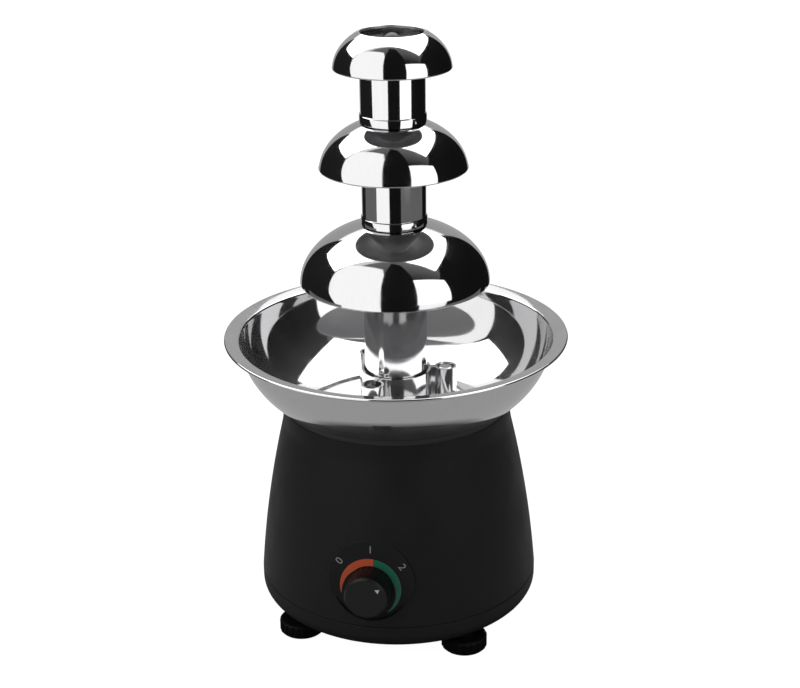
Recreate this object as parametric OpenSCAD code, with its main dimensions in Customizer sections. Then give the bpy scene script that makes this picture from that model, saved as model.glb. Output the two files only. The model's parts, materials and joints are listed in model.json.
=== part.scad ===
// Three-tier chocolate fountain: a lift-off steel tower with a driven auger,
// a heated steel bowl and a tapered plastic base on four levelling feet.
// The origin is on the tower axis at the table, +Z is up and the dial faces -Y.

/* [Tower] */
// Outer radius of the tower tubes
tube_r = 20.8; // [20.4:0.1:21.6]
// Sheet thickness of tubes and tiers
sheet = 0.9; // [0.7:0.1:1.1]
// Height of the socket band at the foot of a tube
band_h = 5.2; // [4:0.1:8]
// Radius of the hemmed bead round each tier's rim
hem_r = 0.9; // [0.7:0.1:1.2]
// Rim radius of the crown tier
crown_rim_r = 37.7; // [34:0.1:42]
// Height of the crown's dome
crown_dome_h = 28.8; // [26:0.1:32]
// Rise from the middle tier's spigot to the crown's rim
crown_rise = 35; // [30:0.1:45]
// Rim radius of the middle tier
middle_rim_r = 47.9; // [44:0.1:54]
// Height of the middle tier's dome
middle_dome_h = 35.9; // [32:0.1:40]
// Rise from the lower tier's spigot to the middle tier's rim
middle_rise = 37.8; // [32:0.1:46]
// Rim radius of the lower tier
lower_rim_r = 62.1; // [56:0.1:68]
// Height of the lower tier's dome
lower_dome_h = 42; // [38:0.1:46]
// Rise from the bowl's floor to the lower tier's rim
lower_rise = 90.9; // [82:0.1:103]

/* [Collar] */
// Thickness of the collar strip
strip = 1.6; // [1.2:0.1:2]
// Height of the collar strip
collar_h = 28.2; // [24:0.1:34]
// Distance of the eyelets from the tower axis
eyelet_circle_r = 33; // [32:0.1:36]
// Bore radius of a rolled eyelet
eyelet_bore_r = 5.8; // [5:0.1:6.4]
// Direction of the first eyelet
eyelet_turn = 14; // [0:1:40]

/* [Auger] */
// Radius of the auger's flight
auger_r = 18.5; // [17:0.1:18.7]
// Pitch of the flight
auger_pitch = 32; // [26:1:40]
// Thickness of the flight along the axis
flight_t = 2.4; // [1.8:0.1:3.2]
// Radius of the auger's shaft
auger_shaft_r = 5.8; // [5.2:0.1:6.6]
// Side of the square drive
dog_side = 9; // [8:0.1:9.6]
// Length of the square drive
dog_h = 9; // [7:0.1:12]
// Radius of the drive shaft
drive_r = 5; // [4:0.1:5.6]

/* [Bowl] */
// Radius of the bowl's rim
bowl_rim_r = 113.5; // [108:0.1:120]
// Height of the rim above the bowl's underside
bowl_h = 54.1; // [50:0.1:58]
// Sheet thickness of the bowl
bowl_sheet = 0.9; // [0.8:0.1:1.4]
// Width of the sloped flange
flange_w = 9.1; // [6:0.1:12]
// Rise of the flange across its width
flange_rise = 1.5; // [0.5:0.1:3]
// Radius of the curved wall in section, tangent to the flat floor
bowl_arc_r = 61; // [58:0.1:64]
// Rounding between wall and flange, on the upper face
bowl_lip_round = 1.7; // [1:0.1:2.5]
// Radius of the locating posts
post_r = 5.2; // [4:0.1:5.4]
// Height of the long locating post
long_post_h = 28; // [22:0.1:32]
// Height of the short locating posts
short_post_h = 21; // [18:0.1:24]

/* [Base] */
// Radius of the base at its bottom seam
seam_r = 94.5; // [90:0.1:100]
// Height of the shell above the bottom seam
shell_h = 121.5; // [116:0.1:130]
// Radius of the side's gentle curve in section
side_arc_r = 714; // [600:1:900]
// Depth of that curve's centre below the seam
side_arc_drop = 60; // [50:1:70]
// Height of the upright neck at the shell's top
neck_h = 13; // [8:0.1:18]
// Wall thickness of shell and cover
wall = 2.5; // [2:0.1:3]
// Height of the bottom cover
cover_h = 16.8; // [14:0.1:20]
// Rounding of the cover's lower edge
cover_round = 10; // [7:0.1:12]
// Broken edge on each side of the bottom seam
seam_break = 0.7; // [0.3:0.1:1]
// Height of the gasket under the bowl, at its inner edge
gasket_h = 1.2; // [0.8:0.1:2]

/* [Feet] */
// Radius of a foot wheel
foot_r = 15.2; // [13:0.1:17]
// Height of a foot wheel's top above the table
foot_h = 10; // [8:0.1:12]
// Gap between foot wheel and cover
foot_gap = 4.5; // [4:0.1:8]
// Distance of the feet from the axis
foot_circle_r = 79; // [74:0.1:81]
// Radius of a foot stud
stud_r = 4; // [3:0.1:4.5]
// Flutes round a foot wheel
flutes = 20; // [12:1:28]

/* [Dial] */
// Height of the dial's centre above the bottom seam
dial_rise = 26.2; // [24:0.1:34]
// Depth of the flat under the shell's surface at the dial's centre
dial_depth = 2.8; // [2:0.1:3.4]
// Upward tilt of the dial
dial_tilt = 3; // [1:0.5:5]
// Radius of the flat recess
recess_r = 26.5; // [23:0.1:28]
// Rise of the recess's centre above the dial's centre
recess_rise = 4.5; // [2:0.1:6]
// Radius of the knob's face
knob_r = 14.2; // [12:0.1:16]
// Length of the knob
knob_len = 15.9; // [13:0.1:20]
// Flutes round the knob
knob_flutes = 24; // [16:1:30]

/* [Drive] */
// Length of the standoffs that hang the motor bracket
standoff_len = 34; // [30:0.1:36]
// Radius of the gearbox
gearbox_r = 32; // [28:0.1:36]
// Height of the gearbox
gearbox_h = 22; // [18:0.1:26]
// Radius of the motor's can
motor_r = 27; // [22:0.1:30]
// Height of the motor's can
motor_h = 46; // [36:0.1:52]
// Ring radius of the heating element
element_circle_r = 22.5; // [21.5:0.1:23]
// Radius of the heating element's tube
element_r = 3.2; // [2.6:0.1:3.4]

/* [Hidden] */
$fn = 96;
// Clearances
running_gap = 0.05; // shaft in its bush, stud in its insert
press_gap = 0.05; // pressed pieces of one body
slip_gap = 0.35; // lift-off pieces round each other
eps = 1; // overshoot of a cut

// Heights up the stack, from the table
cover_z = foot_h + foot_gap;
seam_z = cover_z + cover_h;
shell_top_z = seam_z + shell_h;
cover_floor_z = cover_z + wall;

// Side of the base shell
side_arc_z = seam_z - side_arc_drop;
side_arc_x = seam_r - sqrt(pow(side_arc_r, 2) - pow(side_arc_drop, 2));
neck_z = shell_top_z - neck_h;
neck_taper = 0.6;
shell_top_r = shell_r(neck_z) - neck_taper;

// Bowl: its curve runs tangent into the flat floor and rests on the gasket in the shell's mouth
wall_top_r = bowl_rim_r - flange_w;
wall_rise = bowl_h - flange_rise;
bowl_flat_r = wall_top_r - sqrt(pow(bowl_arc_r, 2) - pow(bowl_arc_r - wall_rise, 2));
gasket_inset = 0.4;
gasket_r = shell_top_r - gasket_inset;
gasket_bore_r = shell_top_r - wall + gasket_inset;
seat_back = sqrt(pow(bowl_arc_r, 2) - pow(gasket_bore_r - bowl_flat_r, 2));
bowl_under_z = shell_top_z + gasket_h + seat_back - bowl_arc_r;
floor_z = bowl_under_z + bowl_sheet;
bowl_centre = [bowl_flat_r, bowl_under_z + bowl_arc_r];

// Tower: each tier is [rim radius, centre height of its elliptic dome, dome height]
dome_dip = [1.8, 3.4, 1.5]; // rim above the ellipse's centre: crown, middle, lower
bore_r = tube_r - sheet;
spigot_r = bore_r + slip_gap;
band_bore_r = spigot_r + slip_gap;
band_r = band_bore_r + sheet;
lower_rim_z = floor_z + lower_rise;
lower = [lower_rim_r, lower_rim_z - dome_dip[2], lower_dome_h];
lower_neck_z = dome_z(lower, spigot_r);
middle_rim_z = lower_neck_z + middle_rise;
middle = [middle_rim_r, middle_rim_z - dome_dip[1], middle_dome_h];
middle_neck_z = dome_z(middle, spigot_r);
crown_rim_z = middle_neck_z + crown_rise;
crown = [crown_rim_r, crown_rim_z - dome_dip[0], crown_dome_h];
lip_round = 0.75;
lip_r = bore_r + 0.3;
lip_z = dome_z(crown, lip_r + lip_round);
dimple_turn = [-38, -40, -106]; // dimples: upper, middle and lower tube
dome_steps = 14;

// Collar and posts
collar_lift = 0.3; // collar above the bowl's floor
collar_z = floor_z + collar_lift;
collar_bore_r = tube_r + 0.8;
collar_r = collar_bore_r + strip;
eyelet_r = eyelet_bore_r + strip;
eyelet_slit = 0.8; // gap between the pinched ends of the strip
intake_r = 6;
intake_h = 5; // tube's foot above the collar's
post_screw_r = 2;
post_screw_len = 9;
screw_gap = 0.2;

// Shaft through the bowl
bush_r = 9;
bush_flange_r = 12;
bush_flange_h = 2.1;
bush_len = 11;
bush_nut_r = 13;
bush_nut_h = 4;
seal_r = 9;
seal_h = 2;
bush_top_z = floor_z + bush_flange_h;
seal_top_z = bush_top_z + seal_h;
dog_collar_h = 1;
dog_collar_r = 6.8;
dog_z = seal_top_z + 0.4;
hub_z = dog_z + dog_collar_h + 0.3;
hub_wall = 1.8;
hub_socket = dog_side + 0.4;
hub_r = hub_socket / sqrt(2) + hub_wall;
socket_top_z = dog_z + dog_collar_h + dog_h + 0.4;
hub_grip = 7;
shaft_foot_z = socket_top_z + 1.2;
hub_top_z = shaft_foot_z + hub_grip;
auger_top_z = lip_z - 1;
flight_foot_z = hub_z + 2;
flight_top_z = auger_top_z - auger_shaft_r - 2;
flight_steps = 28; // facets in a turn of the flight

// Motor under the bowl
bracket_t = 2;
standoff_r = 4;
bracket_z = bowl_under_z - standoff_len - bracket_t;
bracket_r = gearbox_r + 4;
bracket_arm_w = 14;
bracket_screw_r = 2;
bracket_screw_len = 8;
gearbox_screw_len = 7;
tap_gap = 1; // blind hole past its screw
gearbox_screw_circle_r = gearbox_r - 6;
gearbox_z = bracket_z - gearbox_h;
motor_z = gearbox_z - motor_h;
motor_nose_r = 8;
motor_nose_h = 4;
shaft_seat = 16; // drive shaft inside the gearbox
screw_head_h = 2.4;
screw_head_r = 3.6;
standoff_circle_r = gearbox_r + screw_head_r + 1;
standoff_gap = 0.8; // standoff through the heater's plate and clamp

// Heater under the bowl
plate_t = 5;
clamp_t = 1.5;
heater_stud_r = 2;
heater_nut_r = 4;
heater_nut_h = 3;
heater_stud_circle_r = element_circle_r + element_r + heater_nut_r + 2;
plate_bore_r = bush_nut_r + 2;
plate_r = bowl_flat_r - 1;
head_gap = 0.6; // heads of the post screws in the plate
clamp_r = heater_stud_circle_r + heater_nut_r + 1;
element_z = bowl_under_z - plate_t;
clamp_z = element_z - element_r - 0.1 - clamp_t;
terminal_turn = 14;
terminal_len = 12;

// Base shell and cover
side_steps = 12;
lip_gap = 0.3;
lip_h = 3;
lip_t = 2;
cover_screw_circle_r = 74;
cover_screw_r = 2;
cover_screw_len = 12;
cover_boss_r = 6;
cover_boss_h = 5.5;
cover_head_pocket = 3;
column_turn = 60;
column_r = 4.6;
column_h = 34;
rib_t = 2.4;
vent_count = 9;
vent_w = 3;
vent_len = 20;
vent_r = 30;

// Feet
foot_turns = [45, 135, 225, 315];
pad_h = 1.6;
pad_r = foot_r - 3;
pad_recess = 0.8;
wheel_z = pad_h - pad_recess;
spigot_pin_r = 3;
flute_r = 1.5;
flute_depth = 0.7;
wheel_hub_r = 7;
wheel_hub_h = 1.8;
stud_sink = 4;
stud_len = 24;
insert_r = stud_r + 2;
insert_h = 14;
foot_boss_r = insert_r + 2.4;

// Dial, in a frame whose +Z points out of the flat
dial_z = seam_z + dial_rise;
panel_y = shell_r(dial_z) - dial_depth;
panel_t = 2.6;
recess_z = dial_z + recess_rise;
switch_r = 3;
switch_bush_r = 4.5;
switch_nut_r = 7;
switch_nut_h = 2;
switch_side = 30;
switch_depth = 17;
switch_socket = 6; // depth of the switch's shaft hole
knob_gap = 0.6;
knob_skirt_r = knob_r + 0.6;
knob_wall = 2;
knob_core_r = 6;
knob_face_t = 3;
switch_shaft_len = 12;
knob_flute_r = 1.1;
pointer_turn = 38;
pointer_r = knob_r - 4;
pointer_size = 1.8;
pointer_t = 0.4;

// Rear inlet
gland_rise = 14;
gland_z = seam_z + gland_rise;
gland_tilt = 6.4;
gland_bore_r = 3.6;
gland_r = 6.9;
gland_flange_r = 9.5;
gland_flange_t = 2.6;
gland_snout = 8;
gland_snout_r = 5.4;
gland_tail = 11;
gland_nut_r = 10;
gland_nut_h = 3.4;
gland_nut_gap = 0.7; // flat nut behind the round wall
block_w = 34;
block_d = 16;
block_h = 14;
block_y = 46;
block_ways = 4;
way_depth = 5;
wire_r = 1.4;

steel = [0.78, 0.79, 0.80];
dark_steel = [0.55, 0.56, 0.58];
dark_grey = [0.24, 0.24, 0.25];
black = [0.09, 0.09, 0.10];
brass = [0.80, 0.66, 0.35];
rubber = [0.16, 0.16, 0.17];

// Height of a dome's outer face at radius r
function dome_z(d, r) = d[1] + d[2] * sqrt(1 - pow(r / d[0], 2));
// Points of a dome, inset by t, from its rim height up to radius r
function dome_points(d, rim_z, r, t) =
    let (a0 = asin((rim_z - d[1]) / (d[2] - t)), a1 = acos(r / (d[0] - t)))
    [for (i = [0:dome_steps]) let (a = a0 + (a1 - a0) * i / dome_steps)
        [(d[0] - t) * cos(a), d[1] + (d[2] - t) * sin(a)]];
// Points of a round arc
function arc_points(c, r, a0, a1, steps) =
    [for (i = [0:steps]) let (a = a0 + (a1 - a0) * i / steps) c + r * [cos(a), sin(a)]];
function reversed(v) = [for (i = [len(v) - 1:-1:0]) v[i]];
// Points without the first, to join one stretch on to another
function rest_of(v) = [for (i = [1:len(v) - 1]) v[i]];
// Radius of the shell's gently curved side at height z
function shell_r(z) = side_arc_x + sqrt(pow(side_arc_r, 2) - pow(z - side_arc_z, 2));
// Outline of the shell's side from a foot height up, inset by t
function side_points(t, foot_z = seam_z) = concat(
    [for (i = [0:side_steps]) let (z = foot_z + (neck_z - foot_z) * i / side_steps) [shell_r(z) - t, z]],
    [[shell_top_r - t, shell_top_z]]);
// Seat under a dome where its tube is welded on
function seat_z(d) = dome_z([d[0] - sheet, d[1], d[2] - sheet], tube_r + 0.3);
// Places of the three eyelets and posts
function eyelet_turns() = [for (k = [0:2]) eyelet_turn + 120 * k];

module ring(r, bore, h, z = 0) {
    translate([0, 0, z]) difference() {
        cylinder(r = r, h = h);
        translate([0, 0, -eps]) cylinder(r = bore, h = h + 2 * eps);
    }
}

module hex(r, bore, h) {
    difference() {
        cylinder(r = r, h = h, $fn = 6);
        translate([0, 0, -eps]) cylinder(r = bore, h = h + 2 * eps);
    }
}

// Screw with its head down at z = 0 and its shank up
module screw(r, shank, head_r, head_h) {
    translate([0, 0, -head_h]) cylinder(r = head_r, h = head_h);
    cylinder(r = r, h = shank);
}

module at(r, turn, z = 0) {
    rotate([0, 0, turn]) translate([r, 0, z]) children();
}

// Straight round rod from p to q, for the wiring
module rod(p, q, r) {
    d = q - p;
    translate(p) rotate([0, acos(d[2] / norm(d)), atan2(d[1], d[0])])
        cylinder(r = r, h = norm(d), $fn = 16);
}

// Round run of wire through its points
module wire(points) {
    for (i = [0:len(points) - 2]) rod(points[i], points[i + 1], wire_r);
    for (i = [1:len(points) - 2]) translate(points[i]) sphere(r = wire_r + 0.1, $fn = 16);
}

// A tier with a spigot on top: dome, hemmed rim and welding seat
module spigot_tier(d, rim_z) {
    spigot_top_z = dome_z(d, spigot_r) + band_h;
    spigot_bore_r = spigot_r - sheet;
    rotate_extrude() {
        polygon(concat(
            dome_points(d, rim_z, spigot_r, 0),
            [[spigot_r, spigot_top_z], [spigot_bore_r, spigot_top_z], [spigot_bore_r, seat_z(d)]],
            reversed(dome_points(d, rim_z, tube_r + 0.3, sheet))));
        translate([d[0] - hem_r, rim_z]) circle(r = hem_r, $fn = 32);
    }
}

// A tube with an expanded socket band at its foot, and a dimple pressed into the band
module socket_tube(neck_z, top_z, dimple) {
    foot_z = neck_z + slip_gap;
    shoulder_z = neck_z + band_h; // just over the spigot's end
    difference() {
        rotate_extrude() polygon([
            [band_bore_r, foot_z], [band_r, foot_z], [band_r, shoulder_z],
            [tube_r, shoulder_z + band_r - tube_r], [tube_r, top_z], [bore_r, top_z],
            [bore_r, shoulder_z + band_bore_r - bore_r], [band_bore_r, shoulder_z]]);
        dimple(band_r, dimple, neck_z + band_h * 0.65);
    }
}

// Shallow round dent in a tube's outer face
module dimple(r, turn, z) {
    ball_r = 2.4;
    at(r + ball_r - sheet / 2, turn, z) sphere(r = ball_r, $fn = 32);
}

module crown_tier() {
    seat = lip_z - lip_round - sheet;
    color(steel) rotate_extrude() {
        polygon(concat(
            dome_points(crown, crown_rim_z, lip_r + lip_round, 0),
            arc_points([lip_r + lip_round, lip_z - lip_round], lip_round, 90, 180, 6),
            [[lip_r, seat], [tube_r + 0.3, seat]],
            reversed(dome_points(crown, crown_rim_z, tube_r + 2, sheet))));
        translate([crown[0] - hem_r, crown_rim_z]) circle(r = hem_r, $fn = 32);
    }
}

module upper_tube() {
    color(steel) socket_tube(middle_neck_z, lip_z - lip_round - sheet, dimple_turn[0]);
}

module middle_tier() {
    color(steel) spigot_tier(middle, middle_rim_z);
}

module middle_tube() {
    color(steel) socket_tube(lower_neck_z, seat_z(middle), dimple_turn[1]);
}

module lower_tier() {
    color(steel) spigot_tier(lower, lower_rim_z);
}

module lower_tube() {
    foot_z = collar_z + intake_h;
    color(steel) difference() {
        ring(tube_r, bore_r, seat_z(lower) - foot_z, foot_z);
        dimple(tube_r, dimple_turn[2], collar_z + collar_h + 5.6);
    }
}

// Strip bent round the tube, with three rolled eyelets and two intake arches
module tube_collar() {
    color(steel) translate([0, 0, collar_z]) {
        difference() {
            linear_extrude(collar_h) difference() {
                union() {
                    circle(r = collar_r);
                    for (turn = eyelet_turns()) rotate(turn) {
                        translate([eyelet_circle_r, 0]) circle(r = eyelet_r);
                        translate([0, -eyelet_slit / 2 - strip])
                            square([eyelet_circle_r, eyelet_slit + 2 * strip]);
                    }
                }
                circle(r = collar_bore_r);
                for (turn = eyelet_turns()) rotate(turn) {
                    translate([eyelet_circle_r, 0]) circle(r = eyelet_bore_r);
                    translate([0, -eyelet_slit / 2]) square([eyelet_circle_r, eyelet_slit]);
                }
            }
            for (k = [1, 2]) rotate([0, 0, eyelet_turn + 60 + 120 * (k - 1)]) rotate([0, 90, 0])
                cylinder(r = intake_r, h = eyelet_circle_r);
        }
        // weld beads between strip and tube
        for (turn = eyelet_turns()) rotate([0, 0, turn + 60]) translate([tube_r - 0.1, -1.5, intake_h + 4])
            cube([collar_bore_r - tube_r + 0.5, 3, 6]);
    }
}

module auger_shaft() {
    tip_z = auger_top_z - auger_shaft_r;
    color(dark_grey) {
        translate([0, 0, shaft_foot_z]) cylinder(r = auger_shaft_r, h = tip_z - shaft_foot_z);
        translate([0, 0, tip_z]) sphere(r = auger_shaft_r);
    }
}

// Sector of the flight in plan: its width in degrees gives the thickness along the axis
module flight_sector(inner_r) {
    span = 360 * flight_t / auger_pitch;
    polygon(concat(
        [for (a = [0, span / 2, span]) inner_r * [cos(a), sin(a)]],
        [for (a = [span, span * 2 / 3, span / 3, 0]) auger_r * [cos(a), sin(a)]]));
}

// One stretch of the flight, in phase with the rest of the screw
module flight_stretch(z0, z1, inner_r) {
    turns = (z1 - z0) / auger_pitch;
    rotate([0, 0, 360 * z0 / auger_pitch]) translate([0, 0, z0])
        linear_extrude(z1 - z0, twist = -360 * turns, slices = ceil(flight_steps * turns), $fn = 8)
        flight_sector(inner_r);
}

module auger_flight() {
    color(dark_grey) {
        flight_stretch(flight_foot_z, hub_top_z - press_gap, hub_r + press_gap);
        flight_stretch(hub_top_z, flight_top_z, auger_shaft_r + press_gap);
    }
}

module auger_hub() {
    color(dark_grey) translate([0, 0, hub_z]) difference() {
        cylinder(r = hub_r, h = hub_top_z - hub_z);
        translate([-hub_socket / 2, -hub_socket / 2, -eps])
            cube([hub_socket, hub_socket, socket_top_z - hub_z + eps]);
        translate([0, 0, shaft_foot_z - hub_z]) cylinder(r = auger_shaft_r + press_gap, h = hub_grip + eps);
    }
}

module drive_shaft() {
    foot_z = bracket_z - shaft_seat;
    color(dark_steel) translate([0, 0, foot_z]) cylinder(r = drive_r, h = dog_z - foot_z);
}

module drive_dog() {
    color(dark_steel) translate([0, 0, dog_z]) {
        cylinder(r = dog_collar_r, h = dog_collar_h);
        translate([-dog_side / 2, -dog_side / 2, 0]) cube([dog_side, dog_side, dog_collar_h + dog_h]);
    }
}

// Pressed bowl: flat floor, a wall curved up out of it and a sloped flange with a hemmed edge
module bowl() {
    rim_z = bowl_under_z + bowl_h;
    wall_top_z = rim_z - flange_rise;
    centre = bowl_centre;
    a_top = -asin((centre[1] - wall_top_z) / bowl_arc_r);
    inner_arc_r = bowl_arc_r - bowl_sheet;
    // corner between wall and flange, tangent to both upper faces
    edge_r = bowl_rim_r - hem_r;
    flange_start = [wall_top_r, wall_top_z + bowl_sheet];
    flange_end = [edge_r, rim_z + bowl_sheet / 2];
    along = (flange_end - flange_start) / norm(flange_end - flange_start);
    under = flange_start + bowl_lip_round * [along[1], -along[0]] - centre;
    lip_back = inner_arc_r + bowl_lip_round;
    reach = sqrt(pow(under * along, 2) - under * under + pow(lip_back, 2)) - under * along;
    lip = centre + under + reach * along;
    a_lip = atan2(lip[1] - centre[1], lip[0] - centre[0]);
    a_flange = 90 + atan2(along[1], along[0]);
    color(steel) difference() {
        rotate_extrude($fn = 120) {
            polygon(concat(
                [[bush_r + press_gap, floor_z], [bush_r + press_gap, bowl_under_z]],
                arc_points(centre, bowl_arc_r, -90, a_top, 18),
                [[edge_r, rim_z - bowl_sheet / 2], flange_end],
                arc_points(lip, bowl_lip_round, a_flange, 180 + a_lip, 5),
                rest_of(arc_points(centre, inner_arc_r, a_lip, -90, 18))));
            translate([edge_r, rim_z]) circle(r = hem_r, $fn = 32);
        }
        for (turn = eyelet_turns()) at(eyelet_circle_r, turn, bowl_under_z - eps)
            cylinder(r = post_screw_r + screw_gap, h = bowl_sheet + 2 * eps);
    }
}

module post(h) {
    dome_r = post_r / 3;
    difference() {
        rotate_extrude() union() {
            square([post_r - dome_r, h]);
            square([post_r, h - dome_r]);
            translate([post_r - dome_r, h - dome_r]) circle(r = dome_r, $fn = 32);
        }
        translate([0, 0, -eps]) cylinder(r = post_screw_r + press_gap, h = post_screw_len + eps);
    }
}

module locating_posts() {
    heights = [long_post_h, short_post_h, short_post_h];
    turns = eyelet_turns();
    color(steel) for (k = [0:2]) at(eyelet_circle_r, turns[k], floor_z) post(heights[k]);
}

module post_screws() {
    color(dark_steel) for (turn = eyelet_turns()) at(eyelet_circle_r, turn, bowl_under_z)
        screw(post_screw_r, post_screw_len, screw_head_r, screw_head_h);
}

module shaft_bush() {
    color(brass) difference() {
        union() {
            translate([0, 0, floor_z]) cylinder(r = bush_flange_r, h = bush_flange_h);
            translate([0, 0, bush_top_z - bush_len]) cylinder(r = bush_r, h = bush_len);
        }
        translate([0, 0, bush_top_z - bush_len - eps])
            cylinder(r = drive_r + running_gap, h = bush_len + 2 * eps);
    }
}

module bush_nut() {
    color(dark_steel) translate([0, 0, bowl_under_z - bush_nut_h])
        hex(bush_nut_r, bush_r + press_gap, bush_nut_h);
}

module shaft_seal() {
    color(rubber) ring(seal_r, drive_r + running_gap, seal_h, bush_top_z);
}

module heater_plate() {
    color(steel) difference() {
        ring(plate_r, plate_bore_r, plate_t, element_z);
        rotate_extrude() translate([element_circle_r, element_z])
            circle(r = element_r + press_gap, $fn = 32);
        for (k = [0:2]) at(heater_stud_circle_r, 60 + 120 * k, element_z - eps)
            cylinder(r = heater_stud_r + screw_gap, h = plate_t + 2 * eps);
        for (turn = eyelet_turns()) at(eyelet_circle_r, turn, element_z - eps)
            cylinder(r = screw_head_r + head_gap, h = plate_t + 2 * eps);
        for (k = [0:2]) at(standoff_circle_r, 90 + 120 * k, element_z - eps)
            cylinder(r = standoff_r + standoff_gap, h = plate_t + 2 * eps);
    }
}

// Tubular element bent to an open ring, with its two terminals turned down
module heating_element() {
    color(dark_steel) {
        rotate([0, 0, terminal_turn]) rotate_extrude(angle = 360 - 2 * terminal_turn)
            translate([element_circle_r, element_z]) circle(r = element_r, $fn = 32);
        for (turn = [-terminal_turn, terminal_turn]) at(element_circle_r, turn, element_z) {
            sphere(r = element_r, $fn = 32);
            translate([0, 0, -terminal_len]) cylinder(r = element_r * 0.75, h = terminal_len, $fn = 32);
        }
    }
}

// Pressed ring that holds the element up against its plate, open at the terminals
module heater_clamp() {
    open_turn = 44;
    color(dark_steel) translate([0, 0, clamp_z]) difference() {
        rotate([0, 0, open_turn / 2]) rotate_extrude(angle = 360 - open_turn)
            translate([plate_bore_r, 0]) square([clamp_r - plate_bore_r, clamp_t]);
        for (k = [0:2]) at(heater_stud_circle_r, 60 + 120 * k, -eps)
            cylinder(r = heater_stud_r + screw_gap, h = clamp_t + 2 * eps);
        for (k = [0:2]) at(standoff_circle_r, 90 + 120 * k, -eps)
            cylinder(r = standoff_r + standoff_gap, h = clamp_t + 2 * eps);
    }
}

module heater_studs() {
    stud_len = bowl_under_z - clamp_z + heater_nut_h + 1;
    color(dark_steel) for (k = [0:2]) at(heater_stud_circle_r, 60 + 120 * k, bowl_under_z - stud_len)
        cylinder(r = heater_stud_r, h = stud_len);
}

module heater_nuts() {
    color(dark_steel) for (k = [0:2]) at(heater_stud_circle_r, 60 + 120 * k, clamp_z - heater_nut_h)
        hex(heater_nut_r, heater_stud_r + press_gap, heater_nut_h);
}

module thermostat() {
    body_r = 8;
    color(black) at(element_circle_r, 130, clamp_z) {
        translate([0, 0, -2.4]) cylinder(r = body_r, h = 2.4);
        translate([0, 0, -8]) cylinder(r = body_r - 1.6, h = 5.6);
        for (y = [-3, 3]) translate([-0.4, y - 1.5, -15]) cube([0.8, 3, 7]);
    }
}

module thermal_fuse() {
    color(steel) at(element_circle_r, 215, clamp_z) {
        translate([-3, -4, -5]) cube([6, 8, 5]);
        translate([0, 9, -2.8]) rotate([90, 0, 0]) cylinder(r = 1.8, h = 18);
    }
}

module motor_standoffs() {
    color(dark_steel) for (k = [0:2]) at(standoff_circle_r, 90 + 120 * k, bowl_under_z - standoff_len)
        hex(standoff_r, bracket_screw_r + press_gap, standoff_len);
}

// Spider plate: a disc with three arms
module motor_bracket() {
    color(dark_steel) translate([0, 0, bracket_z]) linear_extrude(bracket_t) difference() {
        union() {
            circle(r = bracket_r);
            for (k = [0:2]) rotate(90 + 120 * k) {
                translate([0, -bracket_arm_w / 2]) square([standoff_circle_r, bracket_arm_w]);
                translate([standoff_circle_r, 0]) circle(r = bracket_arm_w / 2);
            }
        }
        circle(r = drive_r + 2);
        for (k = [0:2]) rotate(90 + 120 * k) translate([standoff_circle_r, 0])
            circle(r = bracket_screw_r + screw_gap, $fn = 24);
        for (k = [0:3]) rotate(45 + 90 * k) translate([gearbox_screw_circle_r, 0])
            circle(r = bracket_screw_r + screw_gap, $fn = 24);
    }
}

module bracket_screws() {
    color(dark_steel) for (k = [0:2]) at(standoff_circle_r, 90 + 120 * k, bracket_z)
        screw(bracket_screw_r, bracket_t + bracket_screw_len, screw_head_r, screw_head_h);
}

module gearbox() {
    boss_h = gearbox_screw_len + tap_gap;
    color(dark_steel) translate([0, 0, gearbox_z]) difference() {
        cylinder(r = gearbox_r, h = gearbox_h);
        translate([0, 0, gearbox_h - shaft_seat]) cylinder(r = drive_r + running_gap, h = shaft_seat + eps);
        for (k = [0:3]) at(gearbox_screw_circle_r, 45 + 90 * k, gearbox_h - boss_h)
            cylinder(r = bracket_screw_r + press_gap, h = boss_h + eps);
    }
}

module gearbox_screws() {
    shank = bracket_t + gearbox_screw_len;
    color(dark_steel) for (k = [0:3]) at(gearbox_screw_circle_r, 45 + 90 * k, bracket_z + bracket_t)
        rotate([180, 0, 0]) screw(bracket_screw_r, shank, screw_head_r, screw_head_h);
}

module motor_can() {
    color(steel) {
        translate([0, 0, motor_z]) cylinder(r = motor_r, h = motor_h);
        translate([0, 0, motor_z - motor_nose_h]) cylinder(r = motor_nose_r, h = motor_nose_h);
    }
}

// Gasket on the shell's top edge, hollowed to the bowl's curve
module bowl_gasket() {
    a_out = -acos((gasket_r - bowl_flat_r) / bowl_arc_r);
    a_in = -acos((gasket_bore_r - bowl_flat_r) / bowl_arc_r);
    color(rubber) rotate_extrude($fn = 120) polygon(concat(
        [[gasket_bore_r, shell_top_z], [gasket_r, shell_top_z]],
        arc_points(bowl_centre, bowl_arc_r, a_out, a_in, 3)));
}

// Frame of the dial: +Z out of the flat, +Y up
module at_dial() {
    translate([0, -panel_y, dial_z]) rotate([90 - dial_tilt, 0, 0]) children();
}

// Frame of the rear inlet: +Z out of the shell
module at_gland() {
    translate([0, shell_r(gland_z), gland_z]) rotate([gland_tilt - 90, 0, 0]) children();
}

// The shell's form, filled to half its wall, above the cover's lip
module shell_core() {
    difference() {
        rotate_extrude($fn = 120) polygon(concat([[0, seam_z]], side_points(wall / 2), [[0, shell_top_z]]));
        translate([0, 0, seam_z - eps]) cylinder(r = seam_r, h = lip_h + lip_gap + eps);
    }
}

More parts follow.
